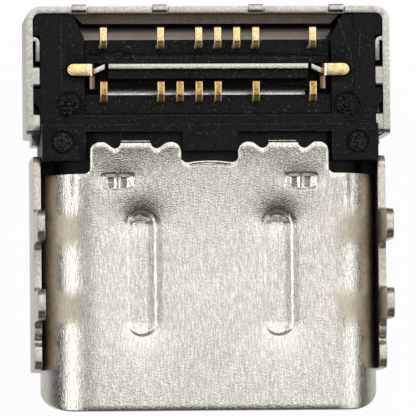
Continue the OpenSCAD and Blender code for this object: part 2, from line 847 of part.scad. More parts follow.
module side_step_profile() {
    outer = plate_outer_r;
    heel = side_leg_x - plate_t;
    translate([plate_w / 2 - cut, plate_low]) square([heel - plate_bend_r - plate_w / 2 + cut, plate_t]);
    translate([heel - plate_bend_r, plate_low + outer]) quarter_bend(plate_t, plate_bend_r, 1, -1);
    translate([heel, plate_low + outer]) square([plate_t, board_z - side_step_drop - plate_low - outer]);
}

// Ground plate on the tongue's root, with a flange against the base block
module ground_plate() {
    seat() across(-ground_w / 2, ground_w) translate([base_front - root_l, mid_z + root_t / 2]) {
        square([root_l, ground_t]);
        translate([root_l - ground_t, 0]) square([ground_t, ground_t + ground_flange]);
    }
}

module lower_ground_plate() {
    color("#c4c4c0") ground_plate();
}

module upper_ground_plate() {
    color("#c4c4c0") translate([0, 0, 2 * mid_z]) mirror([0, 0, 1]) ground_plate();
}

front_shell();
outer_bracket();
rear_cover();
housing();
front_carrier();
rear_carrier();
mid_plate();
upper_ground_plate();
lower_ground_plate();
for (k = a_row) contact_a(k);
for (k = b_row) contact_b(k);
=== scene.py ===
import math

import bmesh
import bpy
from mathutils import Matrix, Vector, noise


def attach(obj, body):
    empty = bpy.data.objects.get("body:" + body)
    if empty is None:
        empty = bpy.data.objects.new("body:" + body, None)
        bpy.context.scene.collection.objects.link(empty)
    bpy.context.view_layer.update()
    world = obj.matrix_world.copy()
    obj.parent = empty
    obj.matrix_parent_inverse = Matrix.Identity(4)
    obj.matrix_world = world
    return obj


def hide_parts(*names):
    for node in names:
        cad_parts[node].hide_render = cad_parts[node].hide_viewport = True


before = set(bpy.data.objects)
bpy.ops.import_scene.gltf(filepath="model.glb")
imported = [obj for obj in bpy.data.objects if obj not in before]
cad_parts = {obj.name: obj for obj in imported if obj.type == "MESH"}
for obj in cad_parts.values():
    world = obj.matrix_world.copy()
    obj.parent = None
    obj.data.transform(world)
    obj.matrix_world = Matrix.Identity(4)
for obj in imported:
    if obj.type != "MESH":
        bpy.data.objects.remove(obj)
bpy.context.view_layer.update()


# Mid plate: sheared spring steel that lies between the two rows of contacts.
# It is bent up at the rear, where its low strip is coloured black.
# The feet at its two sides are gold plated; their edges and hooks carry painted shade and painted highlights.
mm = 0.001


class Shade:
    """A value inside a finish: one socket, which takes part in sums with numbers and other sockets."""

    def __init__(self, tree, socket=None):
        self.tree = tree
        self.socket = socket

    def node(self, kind, settings=None, inputs=None, out=0):
        """A new node of any kind, with its settings and what goes into its sockets."""
        made = self.tree.nodes.new(kind)
        for key, value in (settings or {}).items():
            setattr(made, key, value)
        for key, value in (inputs or {}).items():
            if isinstance(value, Shade):
                self.tree.links.new(value.socket, made.inputs[key])
            else:
                made.inputs[key].default_value = value
        return Shade(self.tree, made.outputs[out])

    def math(self, operation, a, b):
        return self.node("ShaderNodeMath", {"operation": operation}, {0: a, 1: b})

    def __add__(self, other):
        return self.math("ADD", self, other)

    def __radd__(self, other):
        return self.math("ADD", other, self)

    def __sub__(self, other):
        return self.math("SUBTRACT", self, other)

    def __rsub__(self, other):
        return self.math("SUBTRACT", other, self)

    def __mul__(self, other):
        return self.math("MULTIPLY", self, other)

    def __rmul__(self, other):
        return self.math("MULTIPLY", other, self)

    def __abs__(self):
        return self.math("ABSOLUTE", self, 0.0)

    def steps(self, low, high):
        """0 below low, 1 above high."""
        return self.node("ShaderNodeMapRange", {}, {0: self, 1: low, 2: high})

    def band(self, start, full, fade, end):
        """1 from full to fade, 0 before start and after end."""
        return self.steps(start, full) * (1 - self.steps(fade, end))

    def mix(self, low, high):
        """A colour that goes from low to high as this value goes from 0 to 1."""
        return self.node("ShaderNodeMix", {"data_type": "RGBA"}, {0: self, 6: low, 7: high}, 2)

    def dents(self, strength, depth):
        """Bumps in the surface that follow this value."""
        return self.node("ShaderNodeBump", {}, {"Strength": strength, "Distance": depth, "Height": self})


def new_finish(name):
    """A new finish, with its shader, its nodes and the place on the piece in metres."""
    finish = bpy.data.materials.new(name)
    finish.use_nodes = True
    shader = finish.node_tree.nodes["Principled BSDF"]
    tree = Shade(finish.node_tree)
    place = tree.node("ShaderNodeTexCoord", out="Object")
    return finish, shader, tree, place


def link(shader, **inputs):
    """Give the shader's sockets their numbers and colours, or what changes over the surface."""
    for key, value in inputs.items():
        socket = shader.inputs[key.replace("_", " ")]
        if isinstance(value, Shade):
            value.tree.links.new(value.socket, socket)
        else:
            socket.default_value = value


def axes(place):
    """Distances along X, Y and Z."""
    split = place.node("ShaderNodeSeparateXYZ", {}, {0: place}).socket.node
    return [Shade(place.tree, socket) for socket in split.outputs]


def grain(tree, place, per_mm, detail):
    """Noise with so many marks per millimetre along X, Y and Z."""
    scaled = tree.node("ShaderNodeVectorMath", {"operation": "MULTIPLY"},
                       {0: place, 1: [n / mm for n in per_mm]})
    return tree.node("ShaderNodeTexNoise", {},
                     {"Vector": scaled, "Scale": 1.0, "Detail": detail, "Roughness": 0.6})


def dressed(node, name, edge, finish, segments=2):
    """Copy of a piece with its triangles merged to whole faces and its sharp edges rounded."""
    same_place, same_plane = 0.0005 * mm, math.radians(0.5)
    rounded_from, sharp_from = math.radians(40), math.radians(50)
    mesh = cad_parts[node].data.copy()
    mesh.name = name
    bm = bmesh.new()
    bm.from_mesh(mesh)
    bmesh.ops.remove_doubles(bm, verts=bm.verts, dist=same_place)
    bmesh.ops.dissolve_limit(bm, angle_limit=same_plane, verts=bm.verts, edges=bm.edges)
    sharp = [e for e in bm.edges if len(e.link_faces) == 2 and e.calc_face_angle() > rounded_from]
    bmesh.ops.bevel(bm, geom=sharp, offset=edge, offset_type="OFFSET", segments=segments, profile=0.5,
                    affect="EDGES", clamp_overlap=True, material=-1)
    for face in bm.faces:
        face.smooth = True
    bm.to_mesh(mesh)
    bm.free()
    mesh.materials.clear()
    mesh.materials.append(finish)
    mesh.set_sharp_from_angle(angle=sharp_from)
    piece = bpy.data.objects.new(name, mesh)
    bpy.context.scene.collection.objects.link(piece)
    piece.modifiers.new("flat_faces", "WEIGHTED_NORMAL").keep_sharp = True
    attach(piece, "root")
    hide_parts(node)
    return piece


steel_dark, steel_light = (0.57, 0.54, 0.49, 1), (0.76, 0.73, 0.68, 1)
foot_deep, foot_pale = (0.74, 0.43, 0.13, 1), (1.0, 0.82, 0.43, 1)
foot_shade_brown, highlight_white = (0.42, 0.19, 0.045, 1), (1.0, 0.93, 0.80, 1)
hook_shade_brown = (0.52, 0.26, 0.06, 1)
rear_strip_black = (0.006, 0.006, 0.006, 1)

plate_finish, shader, tree, place = new_finish("plate_steel")
across, back, up = axes(place)
side = abs(across)
speck = grain(tree, place, (24, 24, 24), 1.0)
patch = grain(tree, place, (8, 8, 8), 1.0)
foot = side.steps(2.93 * mm, 2.98 * mm)
# Painted shade: the feet's rounded edges and the parts below their tops are coloured brown.
shaded_below_top = 1 - up.steps(2.70 * mm, 2.742 * mm)
# Painted highlight: a pale sheen along the inner edges of the feet's tops.
painted_sheen = side.band(3.0 * mm, 3.04 * mm, 3.12 * mm, 3.2 * mm) * up.steps(2.64 * mm, 2.7 * mm)
# Painted highlight on the outer half of each hook and painted shade on its inner half; the hooks are also
# made less metallic, so that they show lighter.
hook = foot * up.band(2.2 * mm, 2.3 * mm, 2.42 * mm, 2.5 * mm)
hook_lit_and_shaded = side.steps(3.02 * mm, 3.06 * mm).mix(hook_shade_brown, highlight_white)
black_rear_strip = (back + speck * (0.12 * mm)).steps(3.11 * mm, 3.22 * mm) * (1 - up.steps(1.86 * mm, 1.9 * mm))
foot_tone = (speck * 0.5 + patch * 0.5).steps(0.36, 0.54).mix(foot_deep, foot_pale)
foot_tone = (shaded_below_top * 0.8).mix(foot_tone, foot_shade_brown)
foot_tone = (painted_sheen * 0.8).mix(foot_tone, highlight_white)
foot_tone = hook.mix(foot_tone, hook_lit_and_shaded)
steel_tone = speck.steps(0.35, 0.65).mix(steel_dark, steel_light)
tone = black_rear_strip.mix(foot.mix(steel_tone, foot_tone), rear_strip_black)
link(shader, Base_Color=tone, Metallic=1 - black_rear_strip - hook * 0.6,
     Roughness=speck * 0.12 + black_rear_strip * 0.4 + 0.16, Normal=speck.dents(0.4, 0.01 * mm))
dressed("mid_plate", "mid_plate_steel", 0.035 * mm, plate_finish, 3)


# Contacts: two rows of seven, stamped from copper alloy and gold plated.
# Each is moulded into a carrier, and its foot is bent out flat for the board.
pitch = 0.5
edge_highlight_pale, heel_shade_brown = (1.0, 0.86, 0.54, 1), (0.34, 0.17, 0.05, 1)


def gold(name, deep, pale, heel):
    """Gold plating with worn spots, a painted highlight along the edges of the contacts, and painted shade at
    their heels.
    """
    finish, shader, tree, place = new_finish(name)
    across, back, _ = axes(place)
    turn = across.math("FRACT", across * (1 / (pitch * mm)), 0.0)
    # Painted highlight: pale lines along both edges of each contact.
    edge = abs(turn - 0.5).steps(0.1, 0.17)
    worn = grain(tree, place, (22, 14, 22), 1.0)
    # Painted shade: the heels go dark brown and less metallic.
    low = 1 - (back + worn * (0.08 * mm)).steps((heel + 0.12) * mm, (heel + 0.2) * mm)
    tone = (low * 0.9).mix(worn.steps(0.36, 0.64).mix(deep, pale), heel_shade_brown)
    tone = (edge * 0.85).mix(tone, edge_highlight_pale)
    link(shader, Base_Color=tone, Metallic=1 - low * 0.7, Roughness=worn * 0.12 + 0.15,
         Normal=worn.dents(0.3, 0.01 * mm))
    return finish


# The front row gets a darker copy of the same gold plating: painted shade.
row_gold = {"a": gold("rear_row_gold", (0.82, 0.55, 0.21, 1), (0.98, 0.82, 0.46, 1), 4.19),
            "b": gold("front_row_shaded_gold", (0.30, 0.15, 0.032, 1), (0.70, 0.42, 0.135, 1), 2.77)}
for row, finish in row_gold.items():
    for number in (1, 4, 5, 6, 7, 9, 12):
        node = f"contact_{row}{number}"
        dressed(node, f"{node}_gold", 0.035 * mm, finish, 3)


# Housing: one black moulding of glass-filled resin with the tongue, the base block and two corner blocks.
# Ejector pins leave round marks on it, and fibres show as light specks.
resin_black, resin_grey = (0.002, 0.002, 0.002, 1), (0.006, 0.006, 0.0058, 1)
fibre_grey = (0.34, 0.32, 0.29, 1)


def moulding(name, speck_light, speck_from=0.62):
    """Black resin with slow clouds, a fine tooth and light specks of fibre."""
    finish, shader, tree, place = new_finish(name)
    cloud = grain(tree, place, (1.5, 1.5, 1.5), 4.0)
    fibre = grain(tree, place, (17, 17, 17), 1.5).steps(speck_from, speck_from + 0.12)
    tooth = grain(tree, place, (24, 24, 24), 1.0)
    tone = (fibre * speck_light).mix(cloud.steps(0.3, 0.7).mix(resin_black, resin_grey), fibre_grey)
    link(shader, Base_Color=tone, Specular_IOR_Level=0.22, Roughness=cloud * 0.2 + 0.32,
         Normal=tooth.dents(1.0, 0.02 * mm))
    return finish


black_finish = moulding("black_moulding", 0.2)
housing = dressed("housing", "housing_moulding", 0.035 * mm, black_finish)

# The right wall of the recess stands further in than the left one.
recess_wall, recess_front, recess_rear, recess_floor = 3.27, 1.1, 2.06, 2.9
wall_in = 0.08
for vert in housing.data.vertices:
    x, y, z = vert.co / mm
    if abs(x - recess_wall) < 0.02 and recess_front < y < recess_rear and z > recess_floor:
        vert.co.x -= wall_in * mm

mark_finish = moulding("pin_marks", 0.2, 0.5)


def new_piece(bm, name, finish, smooth=True):
    """Object from a mesh that is done."""
    for face in bm.faces:
        face.smooth = smooth
    mesh = bpy.data.meshes.new(name)
    bm.to_mesh(mesh)
    bm.free()
    mesh.materials.append(finish)
    piece = bpy.data.objects.new(name, mesh)
    bpy.context.scene.collection.objects.link(piece)
    return piece


def pin_mark(name, centre, radius, lump, per_mm):
    """Rough disc that an ejector pin leaves on the moulding."""
    cells, sunk = 26, 0.03
    bm = bmesh.new()
    bmesh.ops.create_grid(bm, x_segments=cells, y_segments=cells, size=1)
    top = bmesh.ops.extrude_face_region(bm, geom=bm.faces[:])["geom"]
    top = {v for v in top if isinstance(v, bmesh.types.BMVert)}
    for vert in bm.verts:
        x, y = vert.co.x, vert.co.y
        x, y = x * math.sqrt(1 - y * y / 2), y * math.sqrt(1 - x * x / 2)
        place = Vector(centre) + Vector((x, y, 0)) * radius
        rise = -sunk
        if vert in top:
            rough = 0.6 + noise.fractal(place * per_mm, 0.6, 2.0, 3)
            rise = lump * rough * (1 - (x * x + y * y) ** 4)
        vert.co = (place + Vector((0, 0, rise))) * mm
    bmesh.ops.recalc_face_normals(bm, faces=bm.faces)
    mark = new_piece(bm, name, mark_finish)
    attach(mark, "root")


for side, sign in (("left", -1), ("right", 1)):
    pin_mark(f"rear_pin_mark_{side}", (sign * 3.64, 2.68, 2.6), 0.26, 0.09, 11)
    pin_mark(f"front_pin_mark_{side}", (sign * 3.86, 1.68, 3.2), 0.245, 0.045, 14)


# Flash: thin, worn ridges of resin along the edges and joints of the mouldings.
# It is squeezed out where the parts of the mould meet, and is left untrimmed.
worn_finish = moulding("worn_moulding", 0.16, 0.4)
noise.seed_set(1)


def flash_line(name, level, corners, thick, sway, finish=worn_finish):
    """Uneven ridge that runs through the given corners at one level."""
    spacing, waves = 0.05, 8
    corners = [Vector((x, y, level)) for x, y in corners]
    places = []
    for a, b in zip(corners, corners[1:]):
        count = max(1, round((b - a).length / spacing))
        places += [a.lerp(b, k / count) for k in range(count)]
    places = [p + noise.noise_vector(p * waves) * sway for p in places + corners[-1:]]
    bm = bmesh.new()
    ring = bmesh.ops.create_circle(bm, segments=8, radius=thick * mm)["verts"]
    facing = (places[-1] - places[0]).to_track_quat("Z", "Y").to_matrix()
    bmesh.ops.rotate(bm, verts=ring, cent=(0, 0, 0), matrix=facing)
    bmesh.ops.translate(bm, verts=ring, vec=places[0] * mm)
    edges = bm.edges[:]
    for a, b in zip(places, places[1:]):
        grown = bmesh.ops.extrude_edge_only(bm, edges=edges)["geom"]
        ring = {g for g in grown if isinstance(g, bmesh.types.BMVert)}
        edges = [g for g in grown if isinstance(g, bmesh.types.BMEdge) and ring.issuperset(g.verts)]
        bmesh.ops.translate(bm, verts=list(ring), vec=(b - a) * mm)
    bmesh.ops.holes_fill(bm, edges=bm.edges)
    bmesh.ops.recalc_face_normals(bm, faces=bm.faces)
    ridge = new_piece(bm, name, finish)
    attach(ridge, "root")


flash_line("joint_flash", 2.985, [(-3.33, 2.375), (3.2, 2.39)], 0.014, 0.012)
flash_line("step_flash", 3.195, [(-4.05, 2.135), (4.28, 2.145)], 0.011, 0.008)
flash_line("strip_flash_left", 2.595, [(-3.85, 5.03), (-3.85, 3.1)], 0.018, 0.02)
flash_line("strip_flash_right", 2.55, [(3.45, 4.97), (3.52, 4.73), (3.6, 4.47), (3.72, 4.16), (3.79, 3.94),
                                       (3.81, 3.57), (3.81, 3.23)], 0.03, 0.01)
flash_line("speck_flash_right", 2.595, [(4.0, 4.73), (3.99, 3.94)], 0.02, 0.03)
flash_line("recess_flash_left", 3.2, [(-3.28, 1.46), (-3.28, 1.9)], 0.016, 0.012)
flash_line("recess_flash_right", 3.2, [(3.2, 1.32), (3.2, 1.85)], 0.016, 0.012)
flash_line("recess_flash_rear", 3.2, [(1.1, 1.98), (2.2, 1.975), (3.15, 1.97)], 0.016, 0.02)
flash_line("carrier_flash", 2.26, [(-3.12, 4.08), (-2.97, 4.06), (-2.59, 4.12), (-2.4, 4.135), (-2.34, 4.21),
                                   (-2.29, 4.155), (-2.21, 4.08), (-2.12, 4.12), (-2.03, 4.08), (0.2, 4.09),
                                   (2.32, 4.06), (2.72, 4.02), (2.88, 4.04), (3.14, 3.96)],
           0.035, 0.02, black_finish)
flash_line("carrier_ridge", 2.26, [(-3.13, 3.97), (3.2, 3.95)], 0.025, 0.02)


# Carriers: two black blocks of resin, moulded round the two rows of contacts.
# They are pushed into the housing from behind, with the mid plate between them.
carrier_finish = moulding("carrier_moulding", 0.35)
front_block = dressed("front_carrier", "front_carrier_block", 0.03 * mm, carrier_finish)

# The front one's front face stands back from the housing, so that the joint shows as a dark line.
front_face, set_back = 2.465, 0.055
for vert in front_block.data.vertices:
    if vert.co.y < front_face * mm:
        vert.co.y += set_back * mm

dressed("rear_carrier", "rear_carrier_block", 0.03 * mm, carrier_finish)


# Ground plates: two thin steel stampings, nickel plated, which the plug's shell touches.
# They lie on both faces of the tongue's root, and the housing holds them.
rust_brown, fleck_grey = (0.22, 0.12, 0.05, 1), (0.2, 0.19, 0.18, 1)


def nickel(name, dark, light, rough, streak, dent, rust=0.0, shaded=None, shade_tone=None, flecked=None):
    """Nickel-plated steel with streaks, fine speckle, slow stains and brown spots.

    shaded says where painted shade darkens the steel towards shade_tone, and flecked says where the drawn
    sheet has dark flecks.
    """
    finish, shader, tree, place = new_finish(name)
    line = grain(tree, place, streak, 1.0)
    dot = grain(tree, place, (44, 28, 44), 1.0)
    stain = grain(tree, place, (0.7, 0.5, 0.7), 3.0)
    spot = grain(tree, place, (9, 6, 9), 2.0).steps(0.62, 0.7)
    tone = (line * 0.55 + dot * 0.3 + stain * 0.15).steps(0.40, 0.60).mix(dark, light)
    tone = (spot * rust).mix(tone, rust_brown)
    # Painted shade: where shaded says, the colour goes most of the way to shade_tone.
    if shaded:
        tone = (shaded(place) * 0.85).mix(tone, shade_tone)
    if flecked:
        fleck = grain(tree, place, (26, 20, 26), 0.0).steps(0.5, 0.62)
        tone = (fleck * flecked(place) * 0.15).mix(tone, fleck_grey)
    link(shader, Base_Color=tone, Metallic=1.0, Roughness=stain * 0.1 + rough,
         Normal=(line * 0.4 + dot * 0.8).dents(dent, 0.01 * mm))
    return finish


ground_finish = nickel("ground_steel", (0.55, 0.53, 0.49, 1), (0.72, 0.70, 0.66, 1), 0.25, (14, 2, 14), 0.2)
for node in ("upper_ground_plate", "lower_ground_plate"):
    dressed(node, f"{node}_steel", 0.02 * mm, ground_finish)


# Front shell: a drawn stadium tube of nickel-plated steel that slides over the housing's base.
# Two ribs and two stops are pressed into its board side, and two tabs run back over the housing.
# Lengths along it are measured from the mouth.
half_flat, end_r, mid_z = 2.89, 1.53, 1.73
mouth_y = -5.33
wall = 0.25
tab_in, tab_out, tab_shift = 0.75, 3.11, 0.04
lip_in, lip_out = 1.5, 2.3


def smooth(t):
    """From 0 to 1 with soft ends."""
    t = min(max(t, 0.0), 1.0)
    return t * t * (3 - 2 * t)


def arc(radius, off):
    """Depth of a round notch or corner at the distance off from its middle."""
    return math.sqrt(max(0.0, radius ** 2 - off ** 2))


def marks(*stretches):
    """Places from 0 outwards: each stretch is its far end and the spacing on the way there."""
    places = [0.0]
    for end, step in stretches:
        start = places[-1]
        count = max(1, round((end - start) / step))
        places += [start + (end - start) * k / count for k in range(1, count + 1)]
    return places


def shell_section(s):
    """Place and outward direction at the distance s round the outside, from the middle of the board side."""
    side = 1 if s >= 0 else -1
    s = abs(s)
    if s < half_flat:
        return side * s, mid_z + end_r, 0.0, 1.0
    turn = (s - half_flat) / end_r
    if turn < math.pi:
        nx, nz = math.sin(turn), math.cos(turn)
        return side * (half_flat + end_r * nx), mid_z + end_r * nz, side * nx, nz
    return side * (2 * half_flat + math.pi * end_r - s), mid_z - end_r, 0.0, -1.0


def shell_front(x, z):
    """Front edge: round at the corners in plan, and a little further back on the cover side."""
    corner_from, corner_wide, corner_back, slant = 3.7, 0.73, 0.55, 0.033
    bend = max(0.0, abs(x) - corner_from) / corner_wide
    return corner_back * (1 - arc(1, bend)) + slant * (mid_z + end_r - z)


def mid_tab(x):
    """1 between the two notches of a tab, 0 elsewhere."""
    fade = 0.06
    x = abs(x + tab_shift)
    return smooth((x - lip_in) / fade) * (1 - smooth((x - lip_out) / fade))


def shell_rear(x, board_side):
    """Rear edge: the sides, the middle, and on the board side the two tabs with their notches."""
    cover_side, cover_mid = 6.19, 6.53
    board_edge, board_mid, tab_end = 6.35, 6.63, 7.0
    crown, crown_half, sheared = 0.045, 0.55, 0.02
    corner, notch, soft_run = 0.25, 0.16, 0.3
    notches = (1.38, -1), (2.48, 1)
    if not board_side:
        return cover_mid if abs(x) < tab_out else cover_side
    sheared *= mid_tab(x)
    x = abs(x + tab_shift)
    if x > tab_out:
        return board_edge - arc(notch, max(0.0, tab_out + notch - x))
    if x < tab_in:
        crown *= max(0.0, 1 - (x / crown_half) ** 2)
        return board_mid + crown - arc(notch, max(0.0, x - tab_in + notch))
    y = tab_end - corner + arc(corner, max(0.0, x - tab_out + corner, tab_in + corner - x))
    for centre, outward in notches:
        reach = (x - centre) * outward
        y -= notch * (1 - smooth(reach / soft_run)) if reach > 0 else arc(notch, reach)
    return y - sheared


def rib_wall(t, lean):
    """Depth of a rib at the distance t inside its edge: a steep part, then a run-out at the slope lean."""
    steep, run_from = 0.65, 0.075
    bends = [(0.0, 0.0), (0.02, steep), (0.06, steep), (run_from, lean)]
    bends += [(run_from + 0.034 / lean, 0.8 * lean), (run_from + 0.051 / lean, 0.0)]
    depth = 0.0
    for (start, slope), (end, next_slope) in zip(bends, bends[1:]):
        run = min(max(t - start, 0.0), end - start)
        depth += run * (slope + (next_slope - slope) * run / (end - start) / 2)
    return depth


def rib_depth(across, y):
    """Depth of the two long ribs, with the sheet drawn down round them."""
    rib_x, rib_r, rib_front, rib_back = 1.79, 0.4, 1.94, 5.22
    shoulder, drawn_reach = 0.024, 0.3
    x = abs(across)
    over = y - min(max(y, rib_front + rib_r), rib_back - rib_r)
    off = math.hypot(x - rib_x, over)
    steeper = 1 + 1.6 * smooth((abs(over) - 0.12) / 0.2)
    right_wall = smooth((math.copysign(x - rib_x, across * (x - rib_x)) + 0.06) / 0.12)
    lean = 0.43 - 0.15 * right_wall
    shallow_rear = 0.06 * max(0.0, y - 4.75) ** 2 * smooth((rib_r - off) / 0.2)
    depth = rib_wall((rib_r - off) * steeper, lean) - shallow_rear
    edge = min(max((lean - 0.1) * (rib_r - off) + shoulder, 0.0), shoulder)
    depth += edge * (1 - smooth((abs(over) - 0.02) / 0.36))
    drawn = 0.035 + 0.03 * smooth((y - 4.3) / 1.0)
    return depth + drawn * math.exp(-max(0.0, off - rib_r) / drawn_reach)


def stop_depth(x, y):
    """Depth of the two stops: a bowl with a ridge in its middle, sheared in front, and a dip behind it."""
    stop_x, stop_front, stop_half, stop_flat, stop_long = 2.4, 5.74, 0.47, 0.2, 0.36
    deep, ridge, dip, dip_y = 0.16, 0.06, 0.02, 6.12
    off, behind = abs(x - stop_x), y - stop_front
    bowl = 1 - smooth((off - stop_flat) / (stop_half - stop_flat))
    bowl *= smooth((behind - 0.1 * (off / stop_half) ** 3) / 0.07)
    bowl *= 1 - smooth((behind - stop_long) / 0.1)
    depth = bowl * (deep - 0.12 * behind - ridge * (1 - smooth(off / 0.12)))
    return depth + dip * math.exp(-(off / 0.55) ** 2 - ((y - dip_y) / 0.25) ** 2)


def pressed(x, y):
    """How deep the board side is pressed inwards at a place; its rear and its tabs rise a little."""
    press_shift = 0.045
    slit_y, slit_half, slit_deep = 6.44, 0.42, 0.045
    across = x + press_shift
    x = abs(across)
    slit = math.exp(-((slit_y - 0.15 * x * x - y) / 0.026) ** 2) * (1 - smooth((x - slit_half) / 0.14))
    rear_rise = 0.0075 * max(0.0, y - 3.5) ** 2
    tab_rise = (0.045 - 0.005 * across) * max(0.0, y - 6.25) ** 2
    return rib_depth(across, y) + stop_depth(x, y) + slit_deep * slit - rear_rise - tab_rise


def edge_roll(x, y):
    """How far the sheared rear edge and the sides of the tabs are rolled down."""
    rear_deep, rear_wide, side_deep, side_wide = 0.024, 0.14, 0.04, 0.13
    rear = rear_deep * max(0.0, 1 - (shell_rear(x, True) - y) / rear_wide) ** 2
    x = abs(x + tab_shift)
    out_side = max(0.0, 1 - abs(tab_out - x) / side_wide) ** 2 * smooth((y - 6.25) / 0.2)
    in_side = max(0.0, 1 - abs(x - tab_in) / side_wide) ** 2 * smooth((y - 6.6) / 0.15)
    return max(rear, side_deep * out_side, side_deep * in_side)


# The sheet's columns run round the tube and its rows along it, closest where it is pressed.
half = marks((0.58, 0.14), (1.0, 0.03), (1.2, 0.1), (1.7, 0.017), (1.86, 0.04), (2.36, 0.017), (2.9, 0.027),
             (3.35, 0.045), (5.3, 0.1), (7.7, 0.12), (2 * half_flat + math.pi * end_r, 0.25))
tab_sides = (0.742, 0.752, 3.107, 3.117)
columns = [-s for s in sorted(half + [n + tab_shift for n in tab_sides])[:0:-1]]
columns += sorted(half + [n - tab_shift for n in tab_sides])
rows = marks((1.0, 1.0), (1.9, 0.2), (2.45, 0.02), (4.6, 0.15), (5.66, 0.04), (5.88, 0.013),
             (6.13, 0.036))[1:]
front_rows, rear_rows = 6, 28
row_count = front_rows + len(rows) - 1 + rear_rows
bm = bmesh.new()
bmesh.ops.create_grid(bm, x_segments=len(columns) - 1, y_segments=row_count, size=1)
inside = bmesh.ops.extrude_face_region(bm, geom=bm.faces[:])["geom"]
inside = [v for v in inside if isinstance(v, bmesh.types.BMVert)]
bmesh.ops.translate(bm, verts=inside, vec=(0, 0, -1))
grid_end = 0.9999
seam = [f for f in bm.faces if all(abs(v.co.x) > grid_end for v in f.verts)]
bmesh.ops.delete(bm, geom=seam, context="FACES_ONLY")
rear_edge = [e for e in bm.edges if all(v.co.y > grid_end for v in e.verts)
             and abs(e.verts[0].co.z - e.verts[1].co.z) > 0.5]
bmesh.ops.subdivide_edges(bm, edges=rear_edge, cuts=1)

# Until a vertex is placed, its height says where it lies:
# 0 on the outside, -0.5 on the lip of the rear edge, -1 on the inside.
pressed_half = 3.6
lip_depth, lip_drop, lip_back = 0.12, 0.1, 0.055
inside_rise, inside_back = 0.02, 0.08
for vert in bm.verts:
    s = columns[round((vert.co.x + 1) / 2 * (len(columns) - 1))]
    row = round((vert.co.y + 1) / 2 * row_count)
    x, z, nx, nz = shell_section(s)
    board_side = abs(s) < half_flat + end_r * math.pi / 2
    if row < front_rows:
        start = shell_front(x, z)
        y = start + (rows[0] - start) * row / front_rows
    elif row < front_rows + len(rows):
        y = rows[row - front_rows]
    else:
        end = shell_rear(x, board_side)
        y = rows[-1] + (end - rows[-1]) * (row - front_rows - len(rows) + 1) / rear_rows
    depth = pressed(x, y) + edge_roll(x, y) if board_side and abs(s) < pressed_half else 0.0
    sheared = mid_tab(x) * board_side * (row == row_count)
    if vert.co.z < -0.75:
        depth += wall - inside_rise * sheared
        y += inside_back * sheared
    elif vert.co.z < -0.25:
        depth += lip_depth + lip_drop * sheared
        y += lip_back * sheared
    vert.co = Vector((x - nx * depth, y + mouth_y, z - nz * depth)) * mm
bmesh.ops.remove_doubles(bm, verts=bm.verts, dist=0.0005 * mm)
bmesh.ops.recalc_face_normals(bm, faces=bm.faces)
rim_end, rim_angle = -4.4 * mm, math.radians(60)
rim = [e for e in bm.edges if e.verts[0].co.y < rim_end and e.calc_face_angle(0.0) > rim_angle]
bmesh.ops.bevel(bm, geom=rim, offset=0.05 * mm, offset_type="OFFSET", segments=3, profile=0.5,
                affect="EDGES", clamp_overlap=False, material=-1)


def sheared_edge_shade(place):
    """Painted shade: a near-black band on the middle of each tab's sheared rear edge."""
    across, back, _ = axes(place)
    middle = abs(across + tab_shift * mm).band(1.5 * mm, 1.53 * mm, 2.31 * mm, 2.34 * mm)
    return middle * back.band(1.652 * mm, 1.658 * mm, 1.7 * mm, 1.705 * mm)


def drawn_rear(place):
    """The tabs and the sheet next to them, which are drawn hardest."""
    return axes(place)[1].steps(0.4 * mm, 1.1 * mm)


# The dark band on the tabs' sheared rear edges is painted shade.
shell_finish = nickel("shell_steel", (0.70, 0.67, 0.595, 1), (0.985, 0.96, 0.89, 1), 0.13, (36, 4, 36), 0.75,
                      shaded=sheared_edge_shade, shade_tone=(0.05, 0.047, 0.043, 1), flecked=drawn_rear)
shell = new_piece(bm, "shell_tube", shell_finish)
shell.data.set_sharp_from_angle(angle=math.radians(45))
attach(shell, "root")
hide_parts("front_shell")


# Outer bracket: a folded steel channel that the shell lies in.
# Its side plates hug the shell, and four legs go through the board.
bracket_finish = nickel("bracket_steel", (0.57, 0.51, 0.43, 1), (0.79, 0.74, 0.65, 1), 0.24, (12, 9, 12), 0.3,
                        rust=0.4)
dressed("outer_bracket", "bracket_channel", 0.05 * mm, bracket_finish, 3)


# Rear cover: a drawn steel tray that closes the back, with a strip of two uprights welded inside each wall.
# Four small tabs on its rear rim and two latch fingers hold it on the housing. Its inside carries painted
# shade.
def tray_hollow_shade(place):
    """Painted shade on the floor and the rear wall inside the tray."""
    across, back, up = axes(place)
    between_walls = 1 - abs(across).steps(3.9 * mm, 4.1 * mm)
    return between_walls * (1 - back.steps(5.112 * mm, 5.13 * mm)) * up.steps(0.15 * mm, 0.17 * mm)


# Painted shade: the tray's floor and rear wall inside are coloured darker and browner.
cover_finish = nickel("cover_steel", (0.53, 0.50, 0.45, 1), (0.74, 0.72, 0.67, 1), 0.24, (14, 14, 5), 0.25,
                      rust=0.3, shaded=tray_hollow_shade, shade_tone=(0.46, 0.41, 0.355, 1))
dressed("rear_cover", "cover_tray", 0.04 * mm, cover_finish, 3)


